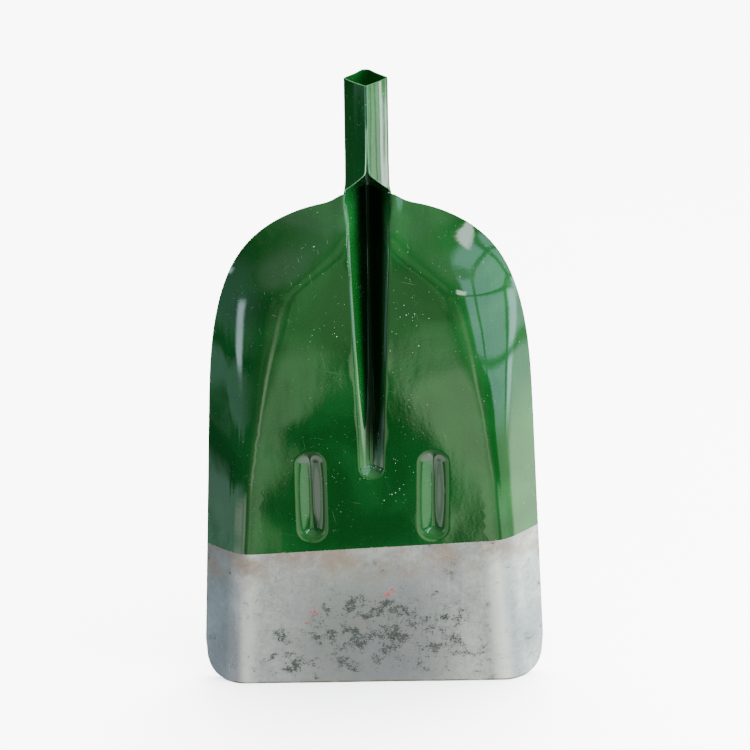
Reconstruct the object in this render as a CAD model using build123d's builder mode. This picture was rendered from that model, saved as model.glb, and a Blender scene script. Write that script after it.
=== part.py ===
# Head of a pressed-steel snow shovel: an open tray with a rolled, open-back handle socket.
# Millimetres. X is across the blade, +Y is the hollow (carrying) side, +Z runs up the head.
# The origin is the centre of the socket mouth. The whole head is one pressing of thin sheet;
# each formed zone of it is its own solid, and neighbouring zones meet face to face.
from build123d import *
from math import acos, cos, exp, pi, sin, sqrt
import os

os.makedirs("parts", exist_ok=True)

# ---- driving dimensions ----
SHEET = 1.6  # steel sheet thickness
HEAD_LENGTH = 639.0  # cutting edge to socket mouth
SOCKET_DEPTH = 33.0  # socket mouth centre, measured from the back of the blade floor

# blade outline, heights measured up from the cutting edge
EDGE_HALF_WIDTH = 175.1
EDGE_TAPER = 0.060  # half width lost per millimetre of height
ARCH_START = 302.0  # height where the straight sides turn into the arch
ARCH_TOP = 524.0
ARCH_POWER = 3.03  # squareness of the arch
CORNER_WIDE = 27.6  # the bottom corners are rounded, a little squarer than an ellipse
CORNER_HIGH = 40.0
CORNER_POWER = 3.25
SHOULDER_DIP = 3.8  # the shoulders sag a little
SHOULDER_DIP_AT = 90.0
SHOULDER_DIP_WIDTH = 45.0
FLARE = 7.1  # and sweep up beside the socket
FLARE_AT = 20.0
FLARE_WIDTH = 11.6

# the fold where the flat floor starts to turn up into the tray wall
FOLD_HALF_WIDTH = 136.8
FOLD_TAPER = 0.081
FOLD_TOP = 508.0
FOLD_ROUNDING = 0.35  # share of the wall band taken by the bend
WALL_DEPTH = 24.0  # depth of the tray wall at the cutting edge
WALL_DEPTH_GAIN = 8.0  # deeper round the haunches
CROTCH_DEPTH = 24.0  # depth of the rim where it runs into the socket

# lengthwise crown of the floor
CROWN_START = 277.0
CROWN_RADIUS = 2440.0

# paint stops at a slanting line across the blade
PAINT_LINE = 162.0
PAINT_SLOPE = 0.050

# open-back channel (frog) below the socket
FROG_END = 254.0
FROG_END_ROUND = 14.0
FROG_HALF_WIDTH_LOW = 13.0
FROG_HALF_WIDTH_TOP = 22.0
FROG_DEPTH_LOW = 6.0
FROG_DEPTH_TOP = 45.4
FROG_DEPTH_POWER = 1.6
LIP_BEND = 512.0  # height where the lips start to climb into the socket

# two stiffening ribs
RIB_OFFSET = 59.5
RIB_BOTTOM = 169.0
RIB_TOP = 273.0
RIB_WIDTH = 30.0
RIB_DEPTH = 5.0

# socket
CROTCH = 530.5  # height where the rim turns up into the socket
SEAM_START = 561.0  # height where the rolled edges meet
SEAM_CLOSED = 600.0  # above here the seam is nearly shut
SOCKET_HALF_WIDTH_LOW = 22.4
SOCKET_HALF_WIDTH_MID = 20.5
SOCKET_HALF_WIDTH_TOP = 20.1
SOCKET_HALF_HEIGHT = 23.0
SOCKET_FLAT = 3.4  # half width of the flattened far corner
SOCKET_CORNER = 2.6
SEAM_GAP_LOW = 3.7
SEAM_GAP_TOP = 0.5
VEE_SHOULDER_HEIGHT = 535.6  # the rolled edges leave the shoulders, run straight up the vee,
VEE_SHOULDER_HALF = 19.9
VEE_STRAIGHT_HEIGHT = 550.0  # then turn up round the throat into the seam
VEE_STRAIGHT_HALF = 7.8
VEE_THROAT_HEIGHT = 554.5
VEE_THROAT_HALF = 3.9


# ---- reference planes, both through the cutting edge ----
BACK = Plane(origin=(0, -SOCKET_DEPTH, -HEAD_LENGTH), x_dir=(1, 0, 0), z_dir=(0, -1, 0))
SIDE = Plane(origin=(0, -SOCKET_DEPTH, -HEAD_LENGTH), x_dir=(0, 1, 0), z_dir=(1, 0, 0))


# ---- shape of the pressing ----
def spot(x, depth, height):
    """Point at a depth behind the floor plane and a height above the cutting edge."""
    return Vector(x, depth - SOCKET_DEPTH, height - HEAD_LENGTH)


def ease(value, start, end):
    """Smooth step from 0 at start to 1 at end."""
    share = min(1.0, max(0.0, (value - start) / (end - start)))
    return share * share * (3 - 2 * share)


def mix(low, high, share):
    return low + (high - low) * share


def crown(height):
    """Depth of the floor: flat, then curving gently forward toward the socket."""
    over = max(0.0, height - CROWN_START)
    return CROWN_RADIUS - sqrt(CROWN_RADIUS**2 - over**2)


def rim_depth(height):
    """Depth of the free edge of the tray wall."""
    gain = WALL_DEPTH_GAIN * (ease(height, 0, 250) + ease(height, 250, 420)) / 2
    loss = (WALL_DEPTH + WALL_DEPTH_GAIN - CROTCH_DEPTH) * ease(height, 430, ARCH_TOP)
    return WALL_DEPTH + gain - loss


def shoulder_drop(x):
    """How far the arch drops below its plain curve: a sag in the shoulder, a sweep up at the socket."""
    sag = SHOULDER_DIP * exp(-(((abs(x) - SHOULDER_DIP_AT) / SHOULDER_DIP_WIDTH) ** 2))
    sweep = FLARE * exp(-(((max(abs(x), FLARE_AT) - FLARE_AT) / FLARE_WIDTH) ** 2))
    return sag - sweep


def side_point(share, height):
    """Straight side, from the fold (share 0) to the rim (share 1)."""
    fold = FOLD_HALF_WIDTH - FOLD_TAPER * height
    rim = EDGE_HALF_WIDTH - EDGE_TAPER * height
    return mix(fold, rim, share), height


def arch_point(share, turn):
    """Arch, from the side (turn 0) to the middle (turn 1)."""
    rise = mix(FOLD_TOP, ARCH_TOP, share) - ARCH_START
    level = ARCH_START + rise * sin(turn * pi / 2) ** (2 / ARCH_POWER)
    x = side_point(share, level)[0] * cos(turn * pi / 2) ** (2 / ARCH_POWER)
    return x, level - shoulder_drop(x)


def turn_at(share, x):
    """How far round the arch the band reaches x, near the socket."""
    wide = side_point(share, mix(FOLD_TOP, ARCH_TOP, share))[0]
    return acos((x / wide) ** (ARCH_POWER / 2)) * 2 / pi


def wall_rise(share):
    """Rise across the wall band: a bend, then straight to the rim."""
    straight = 1 - FOLD_ROUNDING / 2
    if share <= 0:
        return 0.0
    if share < FOLD_ROUNDING:
        return share**2 / (2 * FOLD_ROUNDING) / straight
    return (share - FOLD_ROUNDING / 2) / straight


def wall_point(side, share, along):
    """Back face of the wall; along runs 0..1 up the side and 1..2 round the arch."""
    if along <= 1:
        x, height = side_point(share, mix(-6, ARCH_START, along))
    else:
        x, height = arch_point(share, (along - 1) * turn_at(share, FROG_HALF_WIDTH_TOP - 5))
    depth = crown(height) + (rim_depth(height) - crown(height)) * wall_rise(share)
    return spot(side * x, depth, height)


def frog_half_width(height):
    share = (height - FROG_END) / (CROTCH - FROG_END)
    return mix(FROG_HALF_WIDTH_LOW, FROG_HALF_WIDTH_TOP, share)


def lip_depth(height):
    """Depth of the sheet along the two lips of the frog."""
    share = wall_rise((height - LIP_BEND) / (CROTCH - LIP_BEND))
    return crown(height) + share * (rim_depth(height) - crown(height))


def groove(share, sharp):
    """Cross profile of a groove: 1 in the middle, 0 at the lip."""
    if share >= 1:
        return 0.0
    soft = 0.5 + 0.5 * cos(pi * share)
    rounding = 0.16
    vee = 1 - (sqrt(share**2 + rounding**2) - rounding) / (sqrt(1 + rounding**2) - rounding)
    return mix(soft, vee, sharp)


def frog_point(x, height):
    length = max(0.0, (height - FROG_END) / (CROTCH - FROG_END))
    bottom = mix(FROG_DEPTH_LOW, FROG_DEPTH_TOP, length**FROG_DEPTH_POWER)
    past_end = max(0.0, FROG_END - height) / FROG_END_ROUND
    across = abs(x) / frog_half_width(max(height, FROG_END))
    sharp = ease(height, 500, CROTCH)
    lip = lip_depth(height)
    return spot(x, lip + (bottom - lip) * groove(sqrt(across**2 + past_end**2), sharp), height)


def rib_point(x, height):
    middle = min(max(height, RIB_BOTTOM + RIB_WIDTH / 2), RIB_TOP - RIB_WIDTH / 2)
    away = sqrt(x**2 + (height - middle) ** 2) / (RIB_WIDTH / 2)
    return spot(x, RIB_DEPTH * groove(away, 0), height)


def steps(start, end, count):
    return [start + (end - start) * i / (count - 1) for i in range(count)]


def smooth_face(rows, tolerance):
    return Face.make_surface_from_array_of_points(rows, tol=tolerance, min_deg=3, max_deg=3)


def wall_face(side):
    along = steps(0, 1, 13)[:-1] + [1 + turn for turn in steps(0, 1, 40)]
    shares = steps(-0.15, 1.1, 13)
    return smooth_face([[wall_point(side, share, a) for share in shares] for a in along], 0.05)


FORWARD = (0, 1, 0)
DEEP = 90.0  # reach of the cutters across the sheet


# ---- outline cutters, drawn on the back plane ----
def arch_edge(share, low):
    """Points up the right side and round the arch to the middle."""
    points = [side_point(share, height) for height in steps(low, ARCH_START, 5)]
    points += [arch_point(share, turn) for turn in steps(0.05, 1, 24)]
    return points


def corner_point(turn):
    """Right-hand bottom corner, from the cutting edge (turn 0) to the side (turn 1)."""
    start = side_point(1, CORNER_HIGH)[0] - CORNER_WIDE
    x = start + CORNER_WIDE * sin(turn * pi / 2) ** (2 / CORNER_POWER)
    return x, CORNER_HIGH * (1 - cos(turn * pi / 2) ** (2 / CORNER_POWER))


def left_of(points):
    return [(-x, height) for x, height in reversed(points)]


BELOW = 20.0  # the cutters and the raw sheet both run past the cutting edge
rim_edge = arch_edge(1, -BELOW)
fold_edge = arch_edge(0, -BELOW)
lip_edge = [(frog_half_width(h), h) for h in steps(FROG_END, CROTCH + 8, 3)]

with BuildPart() as rim_region:
    with BuildSketch(BACK):
        with BuildLine():
            Spline(*rim_edge)
            Spline(*left_of(rim_edge))
            Line((-rim_edge[0][0], -BELOW), (rim_edge[0][0], -BELOW))
        make_face()
    extrude(amount=DEEP, both=True)

with BuildPart() as fold_region:
    with BuildSketch(BACK):
        with BuildLine():
            Spline(*fold_edge)
            Spline(*left_of(fold_edge))
            Line((-fold_edge[0][0], -BELOW), (fold_edge[0][0], -BELOW))
        make_face()
    extrude(amount=DEEP, both=True)

corner_edge = [corner_point(turn) for turn in steps(0, 1, 21)]
with BuildPart() as corner_region:
    with BuildSketch(BACK):
        with BuildLine():
            Spline(*corner_edge)
            Spline(*left_of(corner_edge))
            Line(corner_edge[0], (-corner_edge[0][0], 0))
            Polyline(
                corner_edge[-1],
                (corner_edge[-1][0] + 12, CORNER_HIGH + 6),
                (corner_edge[-1][0] + 12, HEAD_LENGTH),
                (-corner_edge[-1][0] - 12, HEAD_LENGTH),
                (-corner_edge[-1][0] - 12, CORNER_HIGH + 6),
                (-corner_edge[-1][0], CORNER_HIGH),
            )
        make_face()
    extrude(amount=DEEP, both=True)

with BuildPart() as frog_region:
    with BuildSketch(BACK):
        with BuildLine():
            Line(lip_edge[0], lip_edge[-1])
            Line(lip_edge[-1], (-lip_edge[-1][0], lip_edge[-1][1]))
            Line((-lip_edge[-1][0], lip_edge[-1][1]), (-lip_edge[0][0], lip_edge[0][1]))
            EllipticalCenterArc((0, FROG_END), lip_edge[0][0], FROG_END_ROUND, 180, arc_size=180)
        make_face()
    extrude(amount=DEEP, both=True)

with BuildPart() as rib_region:
    with BuildSketch(BACK):
        with Locations((RIB_OFFSET, (RIB_BOTTOM + RIB_TOP) / 2)):
            SlotOverall(RIB_TOP - RIB_BOTTOM, RIB_WIDTH, rotation=90)
    extrude(amount=DEEP, both=True)
    mirror(about=Plane.YZ)

with BuildPart() as paint_region:
    with BuildSketch(BACK):
        with BuildLine():
            Polyline(
                (-200, PAINT_LINE - 200 * PAINT_SLOPE),
                (200, PAINT_LINE + 200 * PAINT_SLOPE),
                (200, HEAD_LENGTH + 20),
                (-200, HEAD_LENGTH + 20),
                close=True,
            )
        make_face()
    extrude(amount=DEEP, both=True)

# ---- whole floor: flat, then crowned, one sheet thick ----
with BuildPart() as whole_floor:
    with BuildSketch(SIDE):
        with BuildLine():
            over = CROTCH - CROWN_START
            lean = over / CROWN_RADIUS
            Line((0, -6), (0, CROWN_START))
            CenterArc((CROWN_RADIUS, CROWN_START), CROWN_RADIUS, 180, -lean * 180 / pi)
            Line((0, -6), (SHEET, -6))
            Line((SHEET, -6), (SHEET, CROWN_START))
            CenterArc((CROWN_RADIUS, CROWN_START), CROWN_RADIUS - SHEET, 180, -lean * 180 / pi)
            Line(
                (CROWN_RADIUS - CROWN_RADIUS * cos(lean), CROWN_START + CROWN_RADIUS * sin(lean)),
                (
                    CROWN_RADIUS - (CROWN_RADIUS - SHEET) * cos(lean),
                    CROWN_START + (CROWN_RADIUS - SHEET) * sin(lean),
                ),
            )
        make_face()
    extrude(amount=EDGE_HALF_WIDTH, both=True)
    add(fold_region.part, mode=Mode.INTERSECT)
    add(corner_region.part, mode=Mode.INTERSECT)

# ---- whole tray wall, left and right of the frog ----
with BuildPart() as whole_right_wall:
    thicken(wall_face(1), amount=SHEET, normal_override=FORWARD)
    add(rim_region.part, mode=Mode.INTERSECT)
    add(corner_region.part, mode=Mode.INTERSECT)
    add(fold_region.part, mode=Mode.SUBTRACT)
    add(frog_region.part, mode=Mode.SUBTRACT)

with BuildPart() as whole_left_wall:
    add(whole_right_wall.part)
    mirror(about=Plane.YZ, mode=Mode.REPLACE)

# ---- the separate zones ----
with BuildPart() as blade_floor:
    add(whole_floor.part)
    add(paint_region.part, mode=Mode.INTERSECT)
    add(frog_region.part, mode=Mode.SUBTRACT)
    add(rib_region.part, mode=Mode.SUBTRACT)

with BuildPart() as right_side_wall:
    add(whole_right_wall.part)
    add(paint_region.part, mode=Mode.INTERSECT)

with BuildPart() as left_side_wall:
    add(whole_left_wall.part)
    add(paint_region.part, mode=Mode.INTERSECT)

with BuildPart() as bare_floor:
    add(whole_floor.part)
    add(paint_region.part, mode=Mode.SUBTRACT)

with BuildPart() as bare_right_wall:
    add(whole_right_wall.part)
    add(paint_region.part, mode=Mode.SUBTRACT)

with BuildPart() as bare_left_wall:
    add(whole_left_wall.part)
    add(paint_region.part, mode=Mode.SUBTRACT)

with BuildPart() as steel_edge:
    add(bare_floor.part)
    add(bare_right_wall.part)
    add(bare_left_wall.part)

frog_rows = steps(FROG_END - FROG_END_ROUND - 6, CROTCH + 3, 64)
frog_columns = steps(-30, 30, 49)
frog_face = smooth_face([[frog_point(x, h) for x in frog_columns] for h in frog_rows], 0.02)
with BuildPart() as frog_channel:
    thicken(frog_face, amount=SHEET, normal_override=FORWARD)
    add(frog_region.part, mode=Mode.INTERSECT)
    split(bisect_by=Plane.XY.offset(CROTCH - HEAD_LENGTH), keep=Keep.BOTTOM)

rib_rows = steps(RIB_BOTTOM - 4, RIB_TOP + 4, 57)
rib_columns = steps(-19, 19, 31)
rib_face = smooth_face([[rib_point(x, h) for x in rib_columns] for h in rib_rows], 0.05)
with BuildPart() as right_rib:
    thicken(Pos(RIB_OFFSET, 0, 0) * rib_face, amount=SHEET, normal_override=FORWARD)
    add(rib_region.part, mode=Mode.INTERSECT)

with BuildPart() as left_rib:
    add(right_rib.part)
    mirror(about=Plane.YZ, mode=Mode.REPLACE)


# ---- socket: a rolled diamond tube, open in a vee below the seam ----
def socket_axis(height):
    """Depth of the middle of the socket, which leans toward the hollow side."""
    return mix(CROTCH_DEPTH, SOCKET_DEPTH, (height - CROTCH) / (HEAD_LENGTH - CROTCH))


def socket_tube(shrink):
    """Solid tube body between the crotch and the mouth."""
    with BuildPart() as tube:
        for height, half_width, depth in [
            (CROTCH, SOCKET_HALF_WIDTH_LOW, CROTCH_DEPTH),
            (SEAM_START, SOCKET_HALF_WIDTH_MID, socket_axis(SEAM_START)),
            (HEAD_LENGTH, SOCKET_HALF_WIDTH_TOP, SOCKET_DEPTH),
        ]:
            with BuildSketch(Plane.XY.offset(height - HEAD_LENGTH)) as section:
                with BuildLine(Plane.XY.offset(height - HEAD_LENGTH).move(Pos(0, depth - SOCKET_DEPTH, 0))):
                    Polyline(
                        (half_width, 0),
                        (SOCKET_FLAT, SOCKET_HALF_HEIGHT),
                        (-SOCKET_FLAT, SOCKET_HALF_HEIGHT),
                        (-half_width, 0),
                        (0, -SOCKET_HALF_HEIGHT),
                        close=True,
                    )
                make_face()
                if shrink > 0:
                    offset(amount=-shrink, kind=Kind.INTERSECTION, mode=Mode.REPLACE)
                fillet(section.vertices(), SOCKET_CORNER - shrink)
        loft(ruled=True)
    return tube.part


with BuildPart() as vee_and_seam:
    with BuildSketch(BACK.offset(20)):
        with BuildLine():
            Polyline(
                (-FROG_HALF_WIDTH_TOP - 1, CROTCH - 1),
                (FROG_HALF_WIDTH_TOP + 1, CROTCH - 1),
                (VEE_SHOULDER_HALF, VEE_SHOULDER_HEIGHT),
                (VEE_STRAIGHT_HALF, VEE_STRAIGHT_HEIGHT),
                (VEE_THROAT_HALF, VEE_THROAT_HEIGHT),
                (SEAM_GAP_LOW / 2, SEAM_START),
                (SEAM_GAP_TOP / 2, SEAM_CLOSED),
                (SEAM_GAP_TOP / 2, HEAD_LENGTH + 1),
                (-SEAM_GAP_TOP / 2, HEAD_LENGTH + 1),
                (-SEAM_GAP_TOP / 2, SEAM_CLOSED),
                (-SEAM_GAP_LOW / 2, SEAM_START),
                (-VEE_THROAT_HALF, VEE_THROAT_HEIGHT),
                (-VEE_STRAIGHT_HALF, VEE_STRAIGHT_HEIGHT),
                (-VEE_SHOULDER_HALF, VEE_SHOULDER_HEIGHT),
                close=True,
            )
        make_face()
    extrude(amount=-20 - CROTCH_DEPTH - 1)

with BuildPart() as handle_socket:
    add(socket_tube(0))
    add(socket_tube(SHEET), mode=Mode.SUBTRACT)
    add(vee_and_seam.part, mode=Mode.SUBTRACT)

# ---- hand over one file per zone ----
blade_floor.part.label = "blade_floor"
export_step(blade_floor.part, "parts/blade_floor.step")
left_side_wall.part.label = "left_side_wall"
export_step(left_side_wall.part, "parts/left_side_wall.step")
right_side_wall.part.label = "right_side_wall"
export_step(right_side_wall.part, "parts/right_side_wall.step")
frog_channel.part.label = "frog_channel"
export_step(frog_channel.part, "parts/frog_channel.step")
handle_socket.part.label = "handle_socket"
export_step(handle_socket.part, "parts/handle_socket.step")
left_rib.part.label = "left_rib"
export_step(left_rib.part, "parts/left_rib.step")
right_rib.part.label = "right_rib"
export_step(right_rib.part, "parts/right_rib.step")
steel_edge.part.label = "steel_edge"
export_step(steel_edge.part, "parts/steel_edge.step")
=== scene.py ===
"""Green sheet-steel snow shovel head: looks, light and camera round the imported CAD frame."""
import math

import bpy
import numpy as np
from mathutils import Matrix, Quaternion, Vector
from mathutils.geometry import delaunay_2d_cdt


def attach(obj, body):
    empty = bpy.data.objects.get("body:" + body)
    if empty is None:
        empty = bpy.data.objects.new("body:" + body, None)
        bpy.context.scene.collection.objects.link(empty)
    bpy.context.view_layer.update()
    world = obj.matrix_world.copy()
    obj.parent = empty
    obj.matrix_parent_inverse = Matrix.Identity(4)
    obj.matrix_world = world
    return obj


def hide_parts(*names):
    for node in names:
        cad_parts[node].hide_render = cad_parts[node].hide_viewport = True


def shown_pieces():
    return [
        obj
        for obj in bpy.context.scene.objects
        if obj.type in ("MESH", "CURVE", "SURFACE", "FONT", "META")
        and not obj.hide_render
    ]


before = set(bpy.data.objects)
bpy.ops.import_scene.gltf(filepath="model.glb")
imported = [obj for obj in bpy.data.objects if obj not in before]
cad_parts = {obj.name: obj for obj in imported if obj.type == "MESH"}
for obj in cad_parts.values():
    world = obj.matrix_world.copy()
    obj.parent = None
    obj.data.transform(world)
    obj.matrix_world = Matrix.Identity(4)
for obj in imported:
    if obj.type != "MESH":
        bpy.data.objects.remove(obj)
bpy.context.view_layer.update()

# ---------------------------------------------------------------- dimensions, mm
# heights are measured up from the cutting edge, depths from the floor plane toward the hollow side
SHEET = 1.6
LENGTH = 639.0
SOCKET_DEPTH = 33.0  # middle of the socket mouth behind the floor plane

# outline of the blade: straight sides, then a superellipse arch
POWER = 3.03
ARCH_START, ARCH_TOP = 302.0, 524.0
FOLD_TOP = 508.0
FOLD_ROUND = 0.60
FOLD_LOW_HALF, FOLD_TAPER = 136.8, 0.081
RIM_LOW_HALF, RIM_TAPER = 175.1, 0.060
RIM_DEPTH_LOW, RIM_DEPTH_HIGH = 24.0, 32.0
SAG, SAG_AT, SAG_REACH = 3.8, 90.0, 45.0  # how far the shoulders fall below the arch, and where
FLARE, FLARE_REACH = 7.1, 11.6  # how the rim sweeps up into the socket
CORNER_WIDE, CORNER_HIGH, CORNER_POWER = 27.6, 40.0, 3.25
PAINT_LINE, PAINT_SLOPE = 162.0, 0.050
CROWN_START, CROWN_R = 277.0, 2440.0

# channel (frog)
FROG_END, FROG_ROUND = 254.0, 14.0
FROG_LOW, FROG_TOP = 13.0, 22.0
FROG_PINCH = 1.8  # narrowing where the channel runs into the socket
FROG_BOTTOM_LOW, FROG_BOTTOM_TOP = 6.0, 45.4

# ribs
RIB_X, RIB_LOW, RIB_HIGH, RIB_WIDE, RIB_DEEP = 59.5, 169.0, 273.0, 30.0, 5.0
RIB_SPREAD = 1.08
RIB_FADE = 0.42  # share of the depth lost at the ends

# socket
CROTCH, SEAM_START, SEAM_SHUT = 530.5, 561.0, 600.0
CROTCH_DEPTH = 24.0
SOCKET_TALL, SOCKET_FLAT = 23.0, 3.4
SOCKET_WIDTHS = ((CROTCH, 23.0), (536.0, 22.2), (545.0, 21.6), (SEAM_START, 21.4), (LENGTH, 21.1))
# the opening: height and half width from the crotch, round the shoulder and up the vee to the throat
VEE_POINTS = ((CROTCH, 22.0), (533.0, 21.1), (535.6, 19.9), (541.1, 15.1), (550.0, 7.7), (554.5, 3.9))
SEAM_HALF_LOW, SEAM_HALF_SHUT = 1.85, 0.2
EDGE_BLUR = 1.6  # the opening's corners are rounded over this height above and below
FADE_AT_CROTCH = 0.734  # what the socket's fade into the channel comes to at the crotch

# unevenness of the pressing
LONG_WAVE, SHORT_WAVE, LIP_WANDER = 0.16, 0.07, 0.12

# mesh rows and columns
STRAIGHT_ROWS, ARCH_ROWS = 28, 110
FROG_ROWS, FROG_HALF_COLS = 110, 22
RIB_QUARTER = 16
EDGE_BULGE = 0.45  # a free edge is rounded out by this much


# ---------------------------------------------------------------- shape of the pressing
def ease(v, a, b):
    """Smooth 0 to 1 as v goes from a to b."""
    t = np.clip((v - a) / (b - a), 0, 1)
    return t * t * (3 - 2 * t)


def crown(h):
    """How far the upper floor curves toward the hollow side: an arc of radius CROWN_R."""
    return CROWN_R - np.sqrt(CROWN_R**2 - np.maximum(0, h - CROWN_START) ** 2)


def rim_depth(h):
    """Depth of the rim: it grows up the sides and falls back to the crotch round the arch."""
    gain = (RIM_DEPTH_HIGH - RIM_DEPTH_LOW) / 2 * (ease(h, 0, 250) + ease(h, 250, 420))
    return RIM_DEPTH_LOW + gain - (RIM_DEPTH_HIGH - CROTCH_DEPTH) * ease(h, 430, ARCH_TOP)


def dip(x):
    """How far the arch sags below its superellipse on the shoulders, less its flare at the socket."""
    sag = SAG * np.exp(-(((abs(x) - SAG_AT) / SAG_REACH) ** 2))
    return sag - FLARE * np.exp(-(((np.maximum(abs(x), 20) - 20) / FLARE_REACH) ** 2))


def fold_x(h):
    """Half width of the floor, at the fold."""
    return FOLD_LOW_HALF - FOLD_TAPER * h


def rim_x(h):
    """Half width of the tray, at the rim."""
    return RIM_LOW_HALF - RIM_TAPER * h


def side_x(share, h):
    """Half width part of the way up the wall: share 0 on the fold, 1 on the rim."""
    return fold_x(h) + (rim_x(h) - fold_x(h)) * share


def arch_point(share, turn):
    """A point of the arch at a share of the wall: turn 0 at its start, 1 at its top."""
    rise = FOLD_TOP + (ARCH_TOP - FOLD_TOP) * share - ARCH_START
    level = ARCH_START + rise * np.sin(turn * np.pi / 2) ** (2 / POWER)
    x = side_x(share, level) * np.cos(turn * np.pi / 2) ** (2 / POWER)
    return x, level - dip(x)


def wall_share(x, h):
    """Where a point lies across the wall band: 0 on the fold, 1 on the rim."""
    x = abs(x)
    up = h + dip(x)
    straight = (x - fold_x(up)) / (rim_x(up) - fold_x(up))
    low, high = np.full_like(x, -3.0), np.full_like(x, 2.0)
    for _ in range(34):
        mid = (low + high) / 2
        rise = FOLD_TOP + (ARCH_TOP - FOLD_TOP) * mid - ARCH_START
        wide = np.maximum(side_x(mid, up), 1e-3)
        t = np.maximum(up - ARCH_START, 0) / rise
        outside = (x / wide) ** POWER + t**POWER > 1
        low = np.where(outside, mid, low)
        high = np.where(outside, high, mid)
    return np.where(up <= ARCH_START, straight, (low + high) / 2)


def wall_rise(share, h):
    """Rise across the band: a bend, then straight to the rim; the bend spreads out round the arch."""
    soft = ease(h, 230, 420)
    start = -0.12 - (0.5 + 1.2 * ease(h, 430, 500)) * soft
    whole = 1 - start
    curve = FOLD_ROUND + (0.95 * whole - FOLD_ROUND) * soft
    across = np.maximum(share - start, 0)
    return np.where(across < curve, across**2 / (2 * curve), across - curve / 2) / (whole - curve / 2)


def tray(x, h):
    """Depth of the floor and walls without the channel and ribs."""
    base = crown(h)
    return base + (rim_depth(h) - base) * wall_rise(wall_share(x, h), h)


def frog_half(h):
    """Half width of the channel."""
    share = (np.maximum(h, FROG_END) - FROG_END) / (CROTCH - FROG_END)
    return FROG_LOW + (FROG_TOP - FROG_LOW) * share - FROG_PINCH * ease(h, 520, 536)


def vee(share):
    """Section with straight flanks and a small round at the bottom."""
    r = 0.16
    return 1 - (np.sqrt(share**2 + r**2) - r) / (math.sqrt(1 + r**2) - r)


def groove(share, sharp=0.0):
    """Section of the channel: 1 in the middle, 0 at the lip; sharp turns it from round to a vee."""
    share = np.minimum(share, 1)
    return (0.5 + 0.5 * np.cos(np.pi * share)) * (1 - sharp) + vee(share) * sharp


def rib_section(share):
    """Cross profile of a rib: a tight bottom and soft lips that spread a little past its outline."""
    return 0.5 + 0.5 * np.cos(np.pi * np.minimum(share / RIB_SPREAD, 1) ** 0.80)


def depth(x, h):
    """Back face of the whole blade, frog and ribs: depth behind the floor plane."""
    x, h = np.asarray(x, float), np.asarray(h, float)
    half = frog_half(h)
    lip = tray(np.maximum(abs(x), half), h)
    climb = (np.maximum(0, h - FROG_END) / (CROTCH - FROG_END)) ** 1.6
    bottom = FROG_BOTTOM_LOW + (FROG_BOTTOM_TOP - FROG_BOTTOM_LOW) * climb
    away = np.hypot(x / half, np.maximum(0, FROG_END - h) / FROG_ROUND)
    d = lip + np.where(away < 1, (bottom - lip) * groove(away, ease(h, 500, CROTCH)), 0)
    mid = np.clip(h, RIB_LOW + RIB_WIDE / 2, RIB_HIGH - RIB_WIDE / 2)
    rib = np.hypot(abs(x) - RIB_X, h - mid) / (RIB_WIDE / 2)
    # the pressing isn't quite even: the floor waves a little and the lips wander
    waves = LONG_WAVE * np.sin(x / 21 + h / 67 + 0.7) * np.sin(h / 29 + 1.1)
    waves = waves + SHORT_WAVE * np.sin(h / 11 - x / 38)
    wander = LIP_WANDER * np.sin(h / 13 + np.sign(x)) * np.sin(h / 31 + 2)
    below_crotch = 1 - ease(h, 490, 520)
    by_lip = np.exp(-(((abs(x) - half + 1.5) / 3.0) ** 2)) * ease(h, FROG_END, 300) * below_crotch
    level = 1 - ease(wall_share(x, h), 0.6, 1)
    from_middle = abs(h - (RIB_LOW + RIB_HIGH) / 2) / ((RIB_HIGH - RIB_LOW) / 2)
    rib_depth = RIB_DEEP * (1 - RIB_FADE * np.minimum(from_middle, 1) ** 2.2)
    return d + rib_depth * rib_section(rib) + waves * level * below_crotch + wander * by_lip


def blade_surface(points):
    """Back-face positions and normals, mm, for (x, height) points."""
    x, h = np.asarray(points, float).T
    step = 0.4
    dx = (depth(x + step, h) - depth(x - step, h)) / (2 * step)
    dh = (depth(x, h + step) - depth(x, h - step)) / (2 * step)
    normal = np.stack([-dx, np.ones_like(x), -dh], 1)
    normal /= np.linalg.norm(normal, axis=1)[:, None]
    return np.stack([x, depth(x, h), h], 1), normal


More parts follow.
